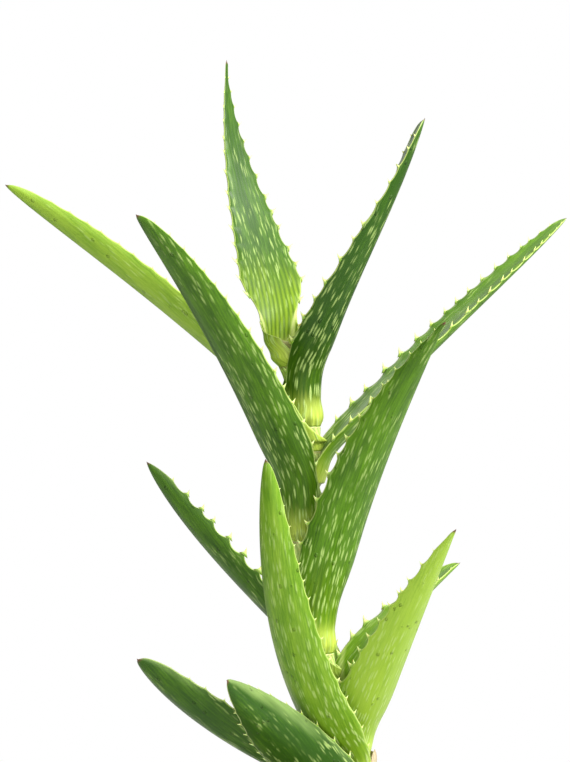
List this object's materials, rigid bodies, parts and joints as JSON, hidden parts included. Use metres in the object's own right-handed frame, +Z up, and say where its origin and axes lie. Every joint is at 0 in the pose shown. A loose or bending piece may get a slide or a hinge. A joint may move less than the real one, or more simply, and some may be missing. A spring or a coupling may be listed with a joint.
{
  "type": "potted aloe plant",
  "caption": "Aloe with toothed, fleshy leaves set in a spiral on a leaning stem, growing in a plain clay pot filled with soil.",
  "frame": {"origin": "middle of the pot's flat foot, on the surface it stands on", "axes": "+Z up along the pot's axis, -Y towards the side the plant is seen from, +X to that viewer's right"},
  "size_m": [0.2425, 0.1807, 0.4707],
  "materials": {
    "clay": "matte, unglazed",
    "soil": "loose, crumbly",
    "stem_skin": "smooth plant skin",
    "leaf_skin": "waxy plant skin with pale spots",
    "dry_leaf": "dry and papery"
  },
  "bodies": {
    "root": {"pot": "clay", "soil": "soil", "stem": "stem_skin", "leaf_01": "leaf_skin", "leaf_02": "leaf_skin", "leaf_03": "leaf_skin", "leaf_04": "leaf_skin", "leaf_05": "leaf_skin", "leaf_06": "leaf_skin", "leaf_07": "leaf_skin", "leaf_08": "leaf_skin", "leaf_09": "leaf_skin", "leaf_10": "leaf_skin", "leaf_11": "leaf_skin", "leaf_12": "leaf_skin", "leaf_13": "leaf_skin", "leaf_14": "leaf_skin", "leaf_15": "leaf_skin", "leaf_16": "leaf_skin", "dry_sheath_1": "dry_leaf", "dry_sheath_2": "dry_leaf"}
  },
  "joints": []
}
